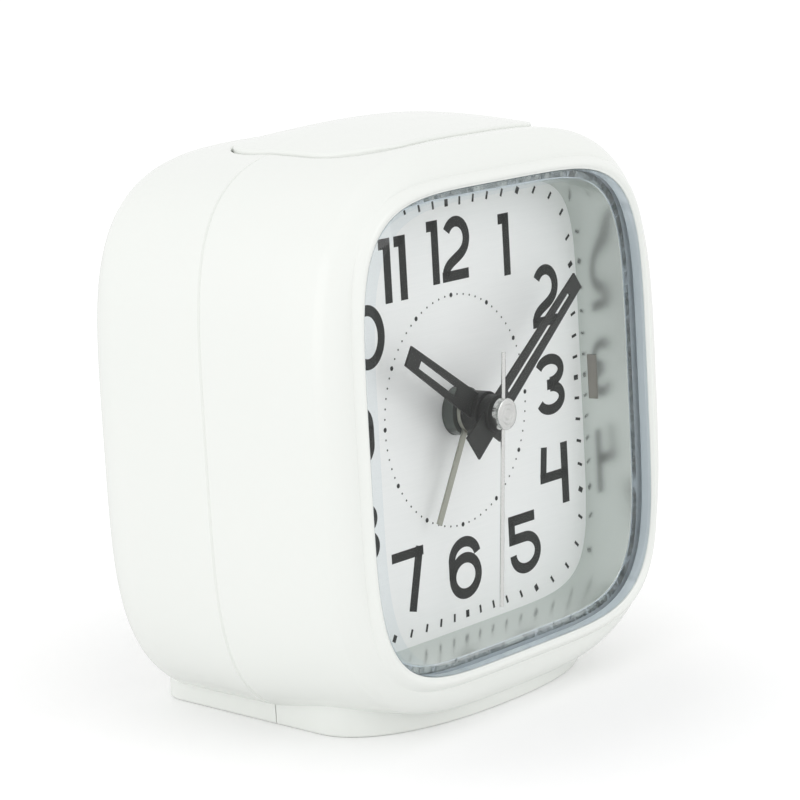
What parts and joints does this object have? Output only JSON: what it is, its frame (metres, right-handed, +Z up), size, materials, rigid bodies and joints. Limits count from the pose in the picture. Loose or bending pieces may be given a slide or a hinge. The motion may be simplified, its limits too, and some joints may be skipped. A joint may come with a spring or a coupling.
{
  "type": "alarm clock",
  "caption": "Small bedside alarm clock: white two-part rounded-square case leaning back, deep silver dial well behind a clear lens, alarm and time hands, push bar on top.",
  "frame": {"origin": "middle of the foot's flat underside", "axes": "+Z up, -Y is the front, where the dial faces; the case leans back 4 degrees"},
  "size_m": [0.0956, 0.0634, 0.0997],
  "materials": {
    "white_abs": "glossy moulded ABS",
    "clear_acrylic": "clear polished acrylic with a bevelled rim",
    "silver_plastic": "satin silver",
    "dial_metal": "fine brushed silver-white, printed",
    "black_hand": "matt black",
    "silver_hand": "polished",
    "olive_hand": "satin grey",
    "dark_plastic": "moulded",
    "grey_plastic": "moulded",
    "nylon": "moulded",
    "bonded_magnet": "plastic-bonded magnet",
    "board": "solder mask",
    "copper": "enamelled wire",
    "steel": "plated",
    "black_plastic": "moulded",
    "cell_can": "plain sleeve"
  },
  "bodies": {
    "case": {"front_case": "white_abs", "rear_case": "white_abs", "lens": "clear_acrylic", "dial_surround": "silver_plastic", "lamp_window": "clear_acrylic", "dial": "dial_metal", "push_bar_springs": "steel", "snooze_switch": "black_plastic", "movement_plate": "dark_plastic", "movement_cover": "grey_plastic", "circuit_board": "board", "coil": "copper", "stator": "steel", "buzzer": "black_plastic", "battery_cell": "cell_can", "plus_contact": "steel", "minus_contact": "steel", "case_screws": "steel", "movement_screws": "steel"},
    "second": {"second_hand": "silver_hand", "second_wheel": "nylon"},
    "minute": {"minute_hand": "black_hand", "centre_wheel": "nylon"},
    "hour": {"hour_hand": "black_hand", "hour_wheel": "nylon"},
    "third": {"third_wheel": "nylon"},
    "fifth": {"fifth_wheel": "nylon"},
    "rotor_body": {"rotor": "bonded_magnet"},
    "time_setting": {"motion_wheel": "nylon", "time_set_knob": "white_abs"},
    "alarm_setting": {"alarm_setting_pinion": "nylon", "alarm_set_knob": "white_abs"},
    "alarm": {"alarm_hand": "olive_hand", "alarm_wheel": "nylon"},
    "push_bar": {"push_bar": "white_abs"},
    "alarm_slider": {"alarm_slider": "white_abs"},
    "battery_door": {"battery_door": "white_abs"}
  },
  "joints": [
    {"name": "second_turn", "type": "hinge", "parent": "case", "child": "second", "pos_m": [0, -0.01354, 0.04996], "axis": [0, 0.9976, -0.0698], "continuous": true},
    {"name": "minute_turn", "type": "hinge", "parent": "case", "child": "minute", "pos_m": [0, -0.01354, 0.04996], "axis": [0, 0.9976, -0.0698], "continuous": true},
    {"name": "hour_turn", "type": "hinge", "parent": "case", "child": "hour", "pos_m": [0, -0.01354, 0.04996], "axis": [0, 0.9976, -0.0698], "continuous": true},
    {"name": "third_turn", "type": "hinge", "parent": "case", "child": "third", "pos_m": [0, -0.0143, 0.03898], "axis": [0, 0.9976, -0.0698], "continuous": true},
    {"name": "fifth_turn", "type": "hinge", "parent": "case", "child": "fifth", "pos_m": [0.00953, -0.01392, 0.04447], "axis": [0, 0.9976, -0.0698], "continuous": true},
    {"name": "rotor_turn", "type": "hinge", "parent": "case", "child": "rotor_body", "pos_m": [0.01504, -0.01424, 0.03985], "axis": [0, 0.9976, -0.0698], "continuous": true},
    {"name": "time_setting_turn", "type": "hinge", "parent": "case", "child": "time_setting", "pos_m": [0.01039, -0.01312, 0.05594], "axis": [0, 0.9976, -0.0698], "continuous": true},
    {"name": "alarm_setting_turn", "type": "hinge", "parent": "case", "child": "alarm_setting", "pos_m": [-0.01039, -0.01312, 0.05594], "axis": [0, 0.9976, -0.0698], "continuous": true},
    {"name": "alarm_turn", "type": "hinge", "parent": "case", "child": "alarm", "pos_m": [0, -0.01354, 0.04996], "axis": [0, 0.9976, -0.0698], "continuous": true},
    {"name": "push_bar_press", "type": "slide", "parent": "case", "child": "push_bar", "axis": [0, -0.0698, -0.9976], "range_m": [0, 0.0014], "stiffness_N_per_m": 800, "springref_m": -0.001, "deforming": ["push_bar_springs"]},
    {"name": "alarm_slider_slide", "type": "slide", "parent": "case", "child": "alarm_slider", "axis": [1, 0, 0], "range_m": [0, 0.004]},
    {"name": "battery_door_off", "type": "slide", "parent": "case", "child": "battery_door", "axis": [0, 0.9976, -0.0698], "range_m": [0, 0.02]}
  ],
  "couplings": [
    {"joint": "minute_turn", "follows": "second_turn", "ratio": 0.016667},
    {"joint": "hour_turn", "follows": "second_turn", "ratio": 0.0013889},
    {"joint": "third_turn", "follows": "second_turn", "ratio": -0.125},
    {"joint": "fifth_turn", "follows": "second_turn", "ratio": -6},
    {"joint": "rotor_turn", "follows": "second_turn", "ratio": 30},
    {"joint": "time_setting_turn", "follows": "second_turn", "ratio": -0.0055556},
    {"joint": "alarm_turn", "follows": "alarm_setting_turn", "ratio": -0.25}
  ]
}
